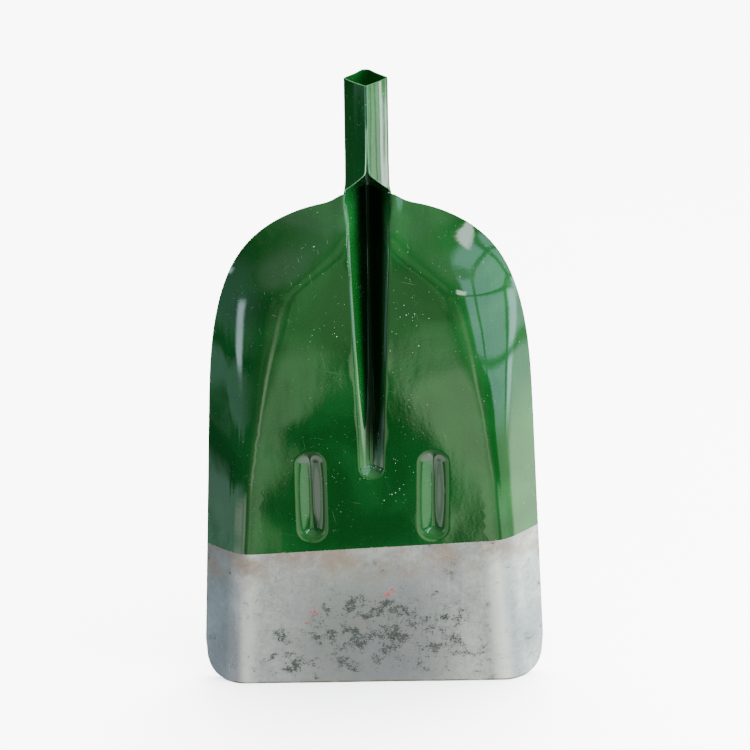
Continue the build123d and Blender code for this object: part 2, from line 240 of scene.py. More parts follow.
# ---------------------------------------------------------------- mesh making
def add_sheet(name, back, normal, faces, free=None, channel_shade=None):
    """A closed sheet: back face, front face SHEET away along normal, and edges; free edges are rounded."""
    n = len(back)
    free = np.zeros(n, bool) if free is None else free
    front = back + normal * SHEET
    verts = [*back, *front]
    quads, loops = [], []
    edge_use = {}
    for f in faces:
        quads.append(list(f))
        loops.append([-normal[i] for i in f])
        quads.append([i + n for i in reversed(f)])
        loops.append([normal[i] for i in reversed(f)])
        for a, b in zip(f, f[1:] + f[:1]):
            edge_use[(a, b)] = True
    border = [(a, b) for a, b in edge_use if (b, a) not in edge_use]
    outward = {}
    for a, b in border:
        run = back[b] - back[a]
        out = np.cross(run, -normal[a])
        for i in (a, b):
            outward[i] = outward.get(i, 0) + out / max(1e-9, np.linalg.norm(out))
    middle = {}
    for i, out in outward.items():
        out = out / max(1e-9, np.linalg.norm(out))
        outward[i] = out
        if free[i]:
            middle[i] = len(verts)
            verts.append(back[i] + normal[i] * SHEET / 2 + out * EDGE_BULGE)
    for a, b in border:
        if free[a] and free[b]:
            quads.append([b, a, middle[a], middle[b]])
            tilt = [(outward[i] - normal[i] * 0.7) for i in (b, a)]
            loops.append([tilt[0], tilt[1], outward[a], outward[b]])
            quads.append([middle[b], middle[a], a + n, b + n])
            tilt = [(outward[i] + normal[i] * 0.7) for i in (a, b)]
            loops.append([outward[b], outward[a], tilt[0], tilt[1]])
        else:
            quads.append([b, a, a + n, b + n])
            loops.append([outward[a]] * 4)
    mesh = bpy.data.meshes.new(name)
    place = [(v[0] / 1000, (v[1] - SOCKET_DEPTH) / 1000, (v[2] - LENGTH) / 1000) for v in verts]
    mesh.from_pydata(place, [], quads)
    mesh.polygons.foreach_set("use_smooth", [True] * len(quads))
    mesh.normals_split_custom_set([Vector(v).normalized() for face in loops for v in face])
    mesh.update()
    # distance to the nearest free edge, mm, and how much painted shade a point of the back face gets in the
    # channel
    spots = np.array(verts)
    rim = spots[sorted(middle.values())] if middle else np.full((1, 3), 1e4)
    far = np.concatenate([
        np.sqrt(((part[:, None] - rim[None]) ** 2).sum(2)).min(1) for part in np.array_split(spots, 40)])
    mesh.attributes.new("edge", "FLOAT", "POINT").data.foreach_set("value", far)
    channel_shade_values = np.zeros(len(verts))
    if channel_shade is not None:
        channel_shade_values = np.resize(np.concatenate([channel_shade, channel_shade * 0]), len(verts))
    mesh.attributes.new("channel_shade", "FLOAT", "POINT").data.foreach_set("value", channel_shade_values)
    obj = bpy.data.objects.new(name, mesh)
    bpy.context.collection.objects.link(obj)
    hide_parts(name.replace("_sheet", ""))
    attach(obj, "root")


def grid_faces(rows, cols, flip=False):
    """Four-sided faces of a grid of points stored row by row."""
    out = []
    for i in range(rows - 1):
        for j in range(cols - 1):
            a, b, c, d = i * cols + j, i * cols + j + 1, (i + 1) * cols + j + 1, (i + 1) * cols + j
            out.append([a, d, c, b] if flip else [a, b, c, d])
    return out


# ---- zone edges, shared by the pieces that meet there
def paint_height(side, share):
    """Height of the paint line on the wall at a share."""
    h = PAINT_LINE
    for _ in range(8):
        h = PAINT_LINE + PAINT_SLOPE * side * side_x(share, h)
    return h


def lip_turn(share):
    """How far round the arch the band at this share meets the lip of the frog."""
    low, high = 0.5, 0.9999
    for _ in range(40):
        mid = (low + high) / 2
        x, h = arch_point(share, mid)
        if x > frog_half(h):
            low = mid
        else:
            high = mid
    return (low + high) / 2


SHARES = np.concatenate([np.linspace(0, 0.4, 13), np.linspace(0.45, 1, 10)])


def wall_points(side, share):
    """One line up the wall at a share, from the paint line to the lip of the frog."""
    start = paint_height(side, share)
    low = [(side_x(share, h), h) for h in np.linspace(start, ARCH_START, STRAIGHT_ROWS)[:-1]]
    end = lip_turn(share)
    # rows crowd a little toward both ends of the arch
    turns = end * (np.linspace(0, 1, ARCH_ROWS) ** 1.25)
    return low + [arch_point(share, t) for t in turns]


def build_wall(side, name):
    lines = [wall_points(side, s) for s in SHARES]
    rows = len(lines[0])
    pts = [(side * lines[j][i][0], lines[j][i][1]) for i in range(rows) for j in range(len(SHARES))]
    back, normal = blade_surface(pts)
    free = np.zeros(len(pts), bool)
    free[len(SHARES) - 1 :: len(SHARES)] = True
    add_sheet(name, back, normal, grid_faces(rows, len(SHARES), flip=side < 0), free)
    fold = [(side * x, h) for x, h in lines[0]]
    end = [(side * lines[j][-1][0], lines[j][-1][1]) for j in range(len(SHARES))]
    return fold, end


def stadium(side, scale):
    """Outline of a rib, counter-clockwise seen from the back."""
    r = RIB_WIDE / 2
    low, high = RIB_LOW + r, RIB_HIGH - r
    pts = []
    for k in range(RIB_QUARTER + 1):
        a = math.pi * k / RIB_QUARTER
        pts.append((r * scale * math.cos(a), high + r * scale * math.sin(a)))
    for h in np.linspace(high, low, RIB_QUARTER + 1)[1:-1]:
        pts.append((-r * scale, h))
    for k in range(RIB_QUARTER + 1):
        a = math.pi + math.pi * k / RIB_QUARTER
        pts.append((r * scale * math.cos(a), low + r * scale * math.sin(a)))
    for h in np.linspace(low, high, RIB_QUARTER + 1)[1:-1]:
        pts.append((r * scale, h))
    return [(side * RIB_X + x, h) for x, h in pts]


def build_rib(side, name):
    scales = np.linspace(1, 0.04, 25)
    rings = [stadium(side, s) for s in scales]
    count = len(rings[0])
    pts = [p for ring in rings for p in ring]
    faces = []
    for i in range(len(rings) - 1):
        for k in range(count):
            m = (k + 1) % count
            faces.append([i * count + k, i * count + m, (i + 1) * count + m, (i + 1) * count + k])
    # close the narrow slot left along the middle
    base = (len(rings) - 1) * count
    quarter = RIB_QUARTER
    top = [base + k for k in range(quarter + 1)]
    left = [base + quarter + k for k in range(quarter + 1)]
    bottom = [base + 2 * quarter + k for k in range(quarter + 1)]
    right = [base + (3 * quarter + k) % count for k in range(quarter + 1)]
    for k in range(quarter):
        faces.append([left[k], left[k + 1], right[quarter - k - 1], right[quarter - k]])
    faces.append(top)
    faces.append(bottom)
    back, normal = blade_surface(pts)
    add_sheet(name, back, normal, faces)
    return rings[0]


def build_frog(name, ends):
    """Rows up the channel and a fan round its blunt end."""
    half_cols = FROG_HALF_COLS
    us = np.sin(np.linspace(-1, 1, 2 * half_cols + 1) * np.pi / 2)
    end_heights = [h for _, h in ends[1]]
    heights = list(np.linspace(FROG_END, end_heights[0], FROG_ROWS)) + end_heights[1:]
    heights += list(np.linspace(end_heights[-1], CROTCH, 6))[1:]
    pts = [(u * float(frog_half(h)), h) for h in heights for u in us]
    cols = len(us)
    faces = grid_faces(len(heights), cols)
    free = np.zeros(len(pts), bool)
    for i, h in enumerate(heights):
        if h >= end_heights[-1] - 1e-6:
            free[i * cols] = free[i * cols + cols - 1] = True
    # fan: spokes from the middle of the first row
    spokes = 28
    ring_index = {}
    for s in range(spokes + 1):
        a = math.pi * s / spokes
        for j in range(half_cols + 1):
            rho = us[half_cols + j]
            if s == 0:
                ring_index[s, j] = half_cols - j
            elif s == spokes:
                ring_index[s, j] = half_cols + j
            elif j == 0:
                ring_index[s, j] = half_cols
            else:
                ring_index[s, j] = len(pts)
                pts.append((-FROG_LOW * rho * math.cos(a), FROG_END - FROG_ROUND * rho * math.sin(a)))
    for s in range(spokes):
        for j in range(half_cols):
            f = [ring_index[s, j], ring_index[s, j + 1], ring_index[s + 1, j + 1], ring_index[s + 1, j]]
            faces.append([v for k, v in enumerate(f) if v not in f[:k]])
    free = np.concatenate([free, np.zeros(len(pts) - len(free), bool)])
    back, normal = blade_surface(pts)
    x, h = np.array(pts).T
    across = np.clip(1 - abs(x) / frog_half(h), 0, 1)
    # painted shade deep in the channel; it starts further in on the left flank, where daylight from the
    # right still reaches
    lit = np.where(x < 0, ease(across, 0.40, 0.72), ease(across, 0.10, 0.45))
    channel_shade = lit * ease(h, FROG_END - 4, 300)
    add_sheet(name, back, normal, faces, free, channel_shade)
    rim = [pts[ring_index[s, half_cols]] for s in range(spokes + 1)]
    left = [(-float(frog_half(h)), h) for h in heights[:FROG_ROWS]]
    right = [(float(frog_half(h)), h) for h in heights[:FROG_ROWS]]
    return left[::-1] + rim[1:-1] + right


def build_floor(name, folds, lip, ribs):
    """The flat floor, triangulated between the folds, the paint line, the frog's lip and the ribs."""
    left, right = folds
    bottom_left, bottom_right = left[0], right[0]
    line = [
        (x, PAINT_LINE + PAINT_SLOPE * x)
        for x in np.linspace(bottom_left[0], bottom_right[0], 90)[1:-1]
    ]
    outline = list(right) + lip[::-1][1:-1] + left[::-1] + line
    verts, edges = [], []
    for loop in (outline, *ribs):
        start = len(verts)
        verts += loop
        edges += [(start + k, start + (k + 1) % len(loop)) for k in range(len(loop))]
    pitch = 6.0
    inner = []
    for i, h in enumerate(np.arange(155, 506, pitch)):
        for x in np.arange(-126, 127, pitch):
            inner.append((x + (pitch / 2 if i % 2 else 0), h))
    inner = np.array(inner)
    edge_pts = np.array(verts)
    gap = np.array([np.min(np.hypot(*(edge_pts - p).T)) for p in inner])
    inner = inner[gap > 8.5]
    # finer rings where the floor rolls into the ribs and the channel
    rings = [p for side in (-1, 1) for grow in (1.08, 1.18, 1.31, 1.46) for p in stadium(side, grow)]
    for away in (1.2, 2.8, 4.8, 7.2):
        for h in np.arange(FROG_END, 500, 3.0):
            rings += [(float(frog_half(h)) + away, h), (-float(frog_half(h)) - away, h)]
        for a in np.linspace(0, math.pi, 25)[1:-1]:
            rings.append(((FROG_LOW + away) * math.cos(a), FROG_END - (FROG_ROUND + away) * math.sin(a)))
    rings = np.array(rings)
    gap = np.array([np.min(np.hypot(*(edge_pts - p).T)) for p in rings])
    inner = np.concatenate([inner, rings[gap > 0.8]])
    inner = inner[in_floor(inner[:, 0], inner[:, 1])]
    verts += [tuple(p) for p in inner]
    out = delaunay_2d_cdt([Vector(p) for p in verts], edges, [], 0, 1e-5)
    pts = np.array([tuple(p) for p in out[0]])
    faces = []
    for f in out[2]:
        mid = pts[list(f)].mean(0)
        if in_floor(mid[:1], mid[1:])[0]:
            a, b, c = pts[list(f)]
            turn = (b[0] - a[0]) * (c[1] - a[1]) - (b[1] - a[1]) * (c[0] - a[0])
            faces.append(list(f) if turn > 0 else list(f)[::-1])
    used = sorted({v for f in faces for v in f})
    renum = {v: k for k, v in enumerate(used)}
    faces = [[renum[v] for v in f] for f in faces]
    back, normal = blade_surface(pts[used])
    add_sheet(name, back, normal, faces)


def in_floor(x, h):
    """Which points lie on the painted floor, outside the channel and the ribs."""
    x, h = np.asarray(x, float), np.asarray(h, float)
    ok = (h > PAINT_LINE + PAINT_SLOPE * x) & (wall_share(x, h) < 0)
    away = np.hypot(x / frog_half(h), np.maximum(0, FROG_END - h) / FROG_ROUND)
    mid = np.clip(h, RIB_LOW + RIB_WIDE / 2, RIB_HIGH - RIB_WIDE / 2)
    rib = np.hypot(abs(x) - RIB_X, h - mid) / (RIB_WIDE / 2)
    return ok & ((away > 1) | (h < FROG_END - FROG_ROUND)) & (rib > 0.999)


def build_steel(name):
    """Bare band, from the cutting edge and rounded corners up to the paint line."""
    floor_cols = np.linspace(-1, 1, 90)
    columns = [("wall", -1, s) for s in SHARES[::-1]]
    columns += [("floor", 0, u) for u in floor_cols[1:-1]]
    columns += [("wall", 1, s) for s in SHARES]
    rows = 56
    grid = []
    left = (-float(side_x(0, paint_height(-1, 0))), paint_height(-1, 0))
    right = (float(side_x(0, paint_height(1, 0))), paint_height(1, 0))
    for kind, side, s in columns:
        if kind == "floor":
            share = (s + 1) / 2
            top_x = left[0] + (right[0] - left[0]) * share
            top_h = PAINT_LINE + PAINT_SLOPE * top_x
            low_x = -fold_x(0.0) + 2 * fold_x(0.0) * share
            grid.append([(low_x + (top_x - low_x) * v, top_h * v) for v in np.linspace(0, 1, rows)])
            continue
        top_h = paint_height(side, s)
        low_h = 0.0
        for _ in range(30):
            reach = (float(side_x(s, low_h)) - (rim_x(CORNER_HIGH) - CORNER_WIDE)) / CORNER_WIDE
            reach = min(max(0.0, reach), 1.0)
            low_h = CORNER_HIGH * (1 - (1 - reach**CORNER_POWER) ** (1 / CORNER_POWER))
        heights = low_h + (top_h - low_h) * np.linspace(0, 1, rows)
        grid.append([(side * float(side_x(s, h)), h) for h in heights])
    cols = len(columns)
    pts = [grid[j][i] for i in range(rows) for j in range(cols)]
    free = np.zeros(len(pts), bool)
    free[:cols] = True
    free[0::cols] = True
    free[cols - 1 :: cols] = True
    back, normal = blade_surface(pts)
    add_sheet(name, back, normal, grid_faces(rows, cols), free)


# ---- socket
def mix(a, b, t):
    return a + (b - a) * t


def socket_width(h):
    """Half width of the outside of the socket."""
    return np.interp(h, *zip(*SOCKET_WIDTHS))


def ring_half(h, count):
    """Outside of the right half of the tube: far corner, side corner, near corner."""
    wide = float(socket_width(h))
    far = [(0, SOCKET_TALL), (SOCKET_FLAT, SOCKET_TALL)]
    corners = np.array([*far, (wide, 0), (0.0, -SOCKET_TALL), (-wide, 0)])
    reach = [SOCKET_FLAT * 0.9, 4.0, 3.0]
    dense = [corners[0]]
    for k, cut in zip((1, 2, 3), reach):
        here, before, after = corners[k], corners[k - 1], corners[k + 1]
        a = here + (before - here) / np.linalg.norm(before - here) * cut
        b = here + (after - here) / np.linalg.norm(after - here) * cut
        for t in np.linspace(0, 1, 25):
            point = (1 - t) ** 2 * a + 2 * t * (1 - t) * here + t**2 * b
            if point[0] >= 0:
                dense.append(point)
    dense.append((0.0, dense[-1][1]))
    dense = np.array(dense)
    run = np.concatenate([[0], np.cumsum(np.hypot(*np.diff(dense, axis=0).T))])
    fine = np.linspace(0, run[-1], count)
    x = np.interp(fine, run, dense[:, 0])
    y = np.interp(fine, run, dense[:, 1])
    # the near flanks swell a little, the far ones are drawn in a little
    side = run[np.argmax(dense[:, 0])]
    near = np.clip((fine - side) / (run[-1] - side), 0, 1)
    far = np.clip(fine / side, 0, 1)
    swell = 0.7 * np.sin(np.pi * near) ** 2 - 0.8 * np.sin(np.pi * far) ** 2
    away = np.hypot(x, y)
    x, y = x * (1 + swell / away), y * (1 + swell / away)
    axis = CROTCH_DEPTH + (SOCKET_DEPTH - CROTCH_DEPTH) * (h - CROTCH) / (LENGTH - CROTCH)
    return x, y + axis


def opening(h):
    """Half width of the sharp opening: straight runs up to the throat, then a seam that closes."""
    throat_h, throat_half = VEE_POINTS[-1]
    if h < throat_h:
        return np.interp(h, *zip(*VEE_POINTS))
    if h < SEAM_START:
        left = (SEAM_START - h) / (SEAM_START - throat_h)
        return SEAM_HALF_LOW + (throat_half - SEAM_HALF_LOW) * left**2
    left = max(0, SEAM_SHUT - h) / (SEAM_SHUT - SEAM_START)
    return SEAM_HALF_SHUT + (SEAM_HALF_LOW - SEAM_HALF_SHUT) * left**1.6


def free_edge(h):
    """Half width of the opening with its corners rounded."""
    return np.mean([opening(h + shift) for shift in np.linspace(-EDGE_BLUR, EDGE_BLUR, 9)])


def build_socket(name):
    heights = np.concatenate([
        np.linspace(CROTCH, SEAM_START, 46)[:-1], np.linspace(SEAM_START, LENGTH, 44)])
    cols = 57
    fine = 1441
    width = 2 * cols - 1
    back, free = [], []
    for i, h in enumerate(heights):
        x, y = ring_half(h, fine)
        nx, ny = -np.gradient(y), np.gradient(x)
        size = np.hypot(nx, ny)
        nx, ny = nx / size, ny / size
        # keep the outside and step inward by the sheet
        side_at = int(np.argmax(x))
        target = min(float(free_edge(h)), float(x[side_at]) - 0.02)
        edge = side_at + int(np.argmin(abs(x[side_at:] - target)))
        pick = np.linspace(0, edge, cols)
        px, py = np.interp(pick, range(fine), x), np.interp(pick, range(fine), y)
        qx, qy = np.interp(pick, range(fine), nx), np.interp(pick, range(fine), ny)
        size = np.hypot(qx, qy)
        qx, qy = qx / size, qy / size
        # the inside of the tube is the back face of the sheet, one sheet within the outside
        px, py = np.maximum(px - qx * SHEET, 0), py - qy * SHEET
        # the lowest rows follow the channel's own section
        blend = 1 - float(ease(h, CROTCH, CROTCH + 18))
        narrow = (1 - float(ease(h, CROTCH - 4, CROTCH + 11))) ** 1.6 / FADE_AT_CROTCH
        across = px / px.max()
        frog_x = across * frog_half(CROTCH)
        frog_y = depth(frog_x, np.full(cols, CROTCH))
        far_half = np.arange(cols) <= np.argmax(px)
        px = mix(px, frog_x, narrow)
        py = np.where(far_half, mix(py, frog_y, blend), py)
        back += [(-a, b, h) for a, b in zip(px[:0:-1], py[:0:-1])]
        back += [(a, b, h) for a, b in zip(px, py)]
        row_free = [i == len(heights) - 1] * width
        row_free[0] = row_free[-1] = True
        free += row_free
    back = np.array(back)
    g = back.reshape(len(heights), width, 3)
    du = np.gradient(g, axis=1)
    dv = np.gradient(g, axis=0)
    normal = np.cross(dv, du)
    normal /= np.maximum(1e-9, np.linalg.norm(normal, axis=2))[:, :, None]
    # outward: away from the axis
    if normal[-1, width // 2, 1] < 0:
        normal = -normal
    faces = grid_faces(len(heights), width)
    add_sheet(name, back, normal.reshape(-1, 3), faces, np.array(free))


fold_left, end_left = build_wall(-1, "left_side_wall_sheet")
fold_right, end_right = build_wall(1, "right_side_wall_sheet")
ribs = [build_rib(-1, "left_rib_sheet"), build_rib(1, "right_rib_sheet")]
lip = build_frog("frog_channel_sheet", (end_left, end_right))
build_floor("blade_floor_sheet", (fold_left, fold_right), lip, ribs)
build_steel("steel_edge_sheet")
build_socket("handle_socket_sheet")


# ---------------------------------------------------------------- materials
class Graph:
    """Small helper that adds nodes and hands back their outputs."""

    def __init__(self, tree):
        self.tree = tree
        tree.nodes.clear()

    def node(self, kind, inputs=(), **settings):
        made = self.tree.nodes.new(kind)
        for key, value in settings.items():
            setattr(made, key, value)
        for key, value in dict(inputs).items():
            if isinstance(value, bpy.types.NodeSocket):
                self.tree.links.new(value, made.inputs[key])
            else:
                made.inputs[key].default_value = value
        return made

    def math(self, op, a, b=0.0, clamp=False):
        return self.node("ShaderNodeMath", {0: a, 1: b}, operation=op, use_clamp=clamp).outputs[0]

    def add(self, *terms):
        total = terms[0]
        for term in terms[1:]:
            total = self.math("ADD", total, term)
        return total

    def mul(self, *terms):
        total = terms[0]
        for term in terms[1:]:
            total = self.math("MULTIPLY", total, term)
        return total

    def step(self, value, low, high):
        """Smooth 0..1 as value goes from low to high."""
        made = self.node("ShaderNodeMapRange", {0: value, 1: low, 2: high}, interpolation_type="SMOOTHSTEP")
        if low > high:
            made.inputs[1].default_value, made.inputs[2].default_value = high, low
            made.inputs[3].default_value, made.inputs[4].default_value = 1.0, 0.0
        return made.outputs[0]

    def scale(self, vector, x, y, z):
        made = self.node("ShaderNodeVectorMath", {0: vector, 1: (x, y, z)}, operation="MULTIPLY")
        return made.outputs[0]

    def noise(self, vector, scale, detail=2.0, rough=0.5, distort=0.0):
        made = self.node(
            "ShaderNodeTexNoise",
            {"Vector": vector, "Scale": scale, "Detail": detail, "Roughness": rough, "Distortion": distort},
        )
        return made.outputs[0]

    def mix(self, share, a, b):
        made = self.node("ShaderNodeMix", {0: share}, data_type="RGBA")
        for slot, value in ((6, a), (7, b)):
            if isinstance(value, bpy.types.NodeSocket):
                self.tree.links.new(value, made.inputs[slot])
            else:
                made.inputs[slot].default_value = (*value, 1)
        return made.outputs[2]

    def level(self, share, a, b):
        """Plain number mixed between a and b."""
        made = self.node("ShaderNodeMapRange", {0: share, 1: 0.0, 2: 1.0, 3: a, 4: b})
        return made.outputs[0]

    def specks(self, vector, scale, size, keep):
        """Round specks: one in each chosen cell of a scatter, 0..1."""
        made = self.node("ShaderNodeTexVoronoi", {"Vector": vector, "Scale": scale, "Randomness": 1.0})
        dot = self.step(made.outputs["Distance"], size, size * 0.55)
        pick = self.node("ShaderNodeSeparateColor", {0: made.outputs["Color"]})
        chosen = self.step(pick.outputs[0], keep, keep + 0.01)
        return self.mul(dot, chosen)

    def spot(self, x, h, at_x, at_h, wide, high):
        """Soft oval mask: its middle and half sizes are millimetres, x and h are metres in the frame."""
        dx = self.mul(self.math("SUBTRACT", x, at_x / 1000), 1000 / wide)
        dh = self.mul(self.math("SUBTRACT", h, (at_h - LENGTH) / 1000), 1000 / high)
        far = self.add(self.mul(dx, dx), self.mul(dh, dh))
        return self.step(far, 1.0, 0.0)


def new_material(name):
    material = bpy.data.materials.new(name)
    material.use_nodes = True
    graph = Graph(material.node_tree)
    coords = graph.node("ShaderNodeTexCoord").outputs
    split = graph.node("ShaderNodeSeparateXYZ", {0: coords["Object"]})
    # the hollow side gets its own wear: its patterns are taken from elsewhere
    facing = graph.node("ShaderNodeSeparateXYZ", {0: coords["Normal"]}).outputs[1]
    far_side = graph.step(facing, -0.15, 0.15)
    shift = graph.node("ShaderNodeCombineXYZ", {0: graph.mul(far_side, 0.37), 2: graph.mul(far_side, 0.21)})
    place = graph.node("ShaderNodeVectorMath", {0: coords["Object"], 1: shift.outputs[0]}, operation="ADD")
    return material, graph, place.outputs[0], split.outputs, far_side


def turned(graph, place, angle):
    """Coordinates turned about Y, the normal of the flat floor."""
    made = graph.node("ShaderNodeVectorRotate", {"Vector": place, "Angle": angle}, rotation_type="Y_AXIS")
    return made.outputs[0]


def scratches(graph, place, angle, fine, long, low):
    """Short fine straight lines, mostly along one direction."""
    aimed = graph.scale(turned(graph, place, angle), fine, fine * 0.2, long)
    return graph.step(graph.noise(aimed, 1.0, 1.0, 0.4), low, low + 0.05)


def green_enamel():
    material, g, place, (x, _, z), _ = new_material("green_enamel")
    edge = g.node("ShaderNodeAttribute", attribute_name="edge").outputs["Fac"]
    channel_shade = g.node("ShaderNodeAttribute", attribute_name="channel_shade").outputs["Fac"]

    tone = g.noise(place, 11, 3, 0.5, 0.6)
    colour = g.mix(g.step(tone, 0.35, 0.68), (0.0022, 0.0310, 0.0042), (0.0046, 0.0490, 0.0088))
    streak = g.noise(g.scale(place, 120, 60, 7), 1.0, 3, 0.55)
    colour = g.mix(g.mul(g.step(streak, 0.5, 0.8), 0.35), colour, (0.0010, 0.0220, 0.0026))
    # painted shade: the channel is darkened to near black, deeper in
    colour = g.mix(g.mul(channel_shade, 0.92), colour, (0.0003, 0.0030, 0.0006))

    # handling film: faint greasy smears that dull the gloss
    smear = g.step(g.noise(g.scale(place, 26, 26, 12), 1.0, 5, 0.62, 1.2), 0.56, 0.74)

    # dust and paint nibs, thicker beside the channel
    beside = g.add(
        g.spot(x, z, -45, 440, 34, 110),
        g.mul(g.spot(x, z, 40, 395, 30, 120), 0.8),
        g.mul(g.spot(x, z, 12, 245, 70, 60), 0.8),
        0.25,
    )
    patchy = g.step(g.noise(place, 42, 2), 0.42, 0.62)
    dust = g.add(
        g.specks(place, 260, 0.18, 0.93),
        g.specks(place, 520, 0.22, 0.90),
        g.specks(place, 120, 0.080, 0.88),
    )
    dust = g.mul(dust, beside, patchy, g.math("SUBTRACT", 1.0, channel_shade))

    lines = g.add(
        scratches(g, place, 0.22, 1500, 16, 0.770),
        scratches(g, place, -0.75, 1700, 24, 0.785),
        scratches(g, place, 1.35, 1800, 20, 0.785),
    )
    rubbed = g.step(g.noise(place, 17, 2), 0.48, 0.64)
    lines = g.math("MINIMUM", g.mul(lines, g.add(g.mul(rubbed, 0.7), g.mul(beside, 0.45))), 1.0)
    grit = g.math("MINIMUM", g.add(g.mul(dust, 0.8), g.mul(lines, 0.42)), 0.85)
    colour = g.mix(grit, colour, (0.42, 0.50, 0.42))

    # enamel worn through on the sheet edges and nibbled along the paint line
    ragged = g.noise(place, 210, 5, 0.65)
    above = g.math("SUBTRACT", z, g.add(g.mul(x, PAINT_SLOPE), (PAINT_LINE - LENGTH) / 1000))
    by_line = g.step(above, 0.0011, 0.0002)
    by_edge = g.step(edge, 1.5, 0.1)
    chip = g.math(
        "MAXIMUM",
        g.step(g.add(g.mul(by_edge, 0.12), ragged), 0.725, 0.74),
        g.step(g.add(g.mul(by_line, 0.15), ragged), 0.72, 0.735),
    )
    # lighter green along the free edges, where the enamel is thin; on the socket's vee edges much lighter
    # still, a painted highlight
    vee_highlight_zone = g.mul(g.step(z, -0.113, -0.106), g.step(z, -0.030, -0.045))
    edge_wear_and_vee_highlight = g.mul(by_edge, g.level(vee_highlight_zone, 0.12, 0.60))
    edge_wear_and_highlight_colour = g.mix(vee_highlight_zone, (0.030, 0.16, 0.050), (0.20, 0.42, 0.25))
    colour = g.mix(edge_wear_and_vee_highlight, colour, edge_wear_and_highlight_colour)
    colour = g.mix(chip, colour, (0.33, 0.31, 0.29))

    orange_peel = g.noise(place, 330, 1.0)
    wave = g.noise(place, 16, 1.0, 0.4)
    ripple = g.noise(g.scale(place, 60, 60, 22), 1.0, 2)
    heights = g.add(
        g.mul(orange_peel, 0.010), g.mul(wave, 0.46), g.mul(ripple, 0.050),
        g.mul(dust, 0.06), g.mul(lines, -0.012), g.mul(chip, -0.05),
    )
    bump = g.node("ShaderNodeBump", {"Strength": 1.0, "Distance": 0.001, "Height": heights}).outputs[0]

    rough = g.add(g.level(g.noise(place, 70, 4), 0.28, 0.46), g.mul(grit, 0.3), g.mul(chip, 0.15))
    # the painted channel shade also takes most of the gloss away there
    dulled = g.add(g.mul(smear, 0.16), g.mul(grit, 0.6), g.mul(chip, 0.95), g.mul(channel_shade, 0.80))
    gloss = g.math("SUBTRACT", 1.0, dulled, True)
    shader = g.node(
        "ShaderNodeBsdfPrincipled",
        {
            "Base Color": colour, "Roughness": rough, "Metallic": g.mul(chip, 0.85), "IOR": 1.45,
            "Normal": bump, "Coat Normal": bump, "Coat Weight": gloss,
            "Coat Roughness": 0.045, "Coat IOR": 1.52, "Specular IOR Level": 0.0,
        },
    )
    g.node("ShaderNodeOutputMaterial", {0: shader.outputs[0]})
    return material


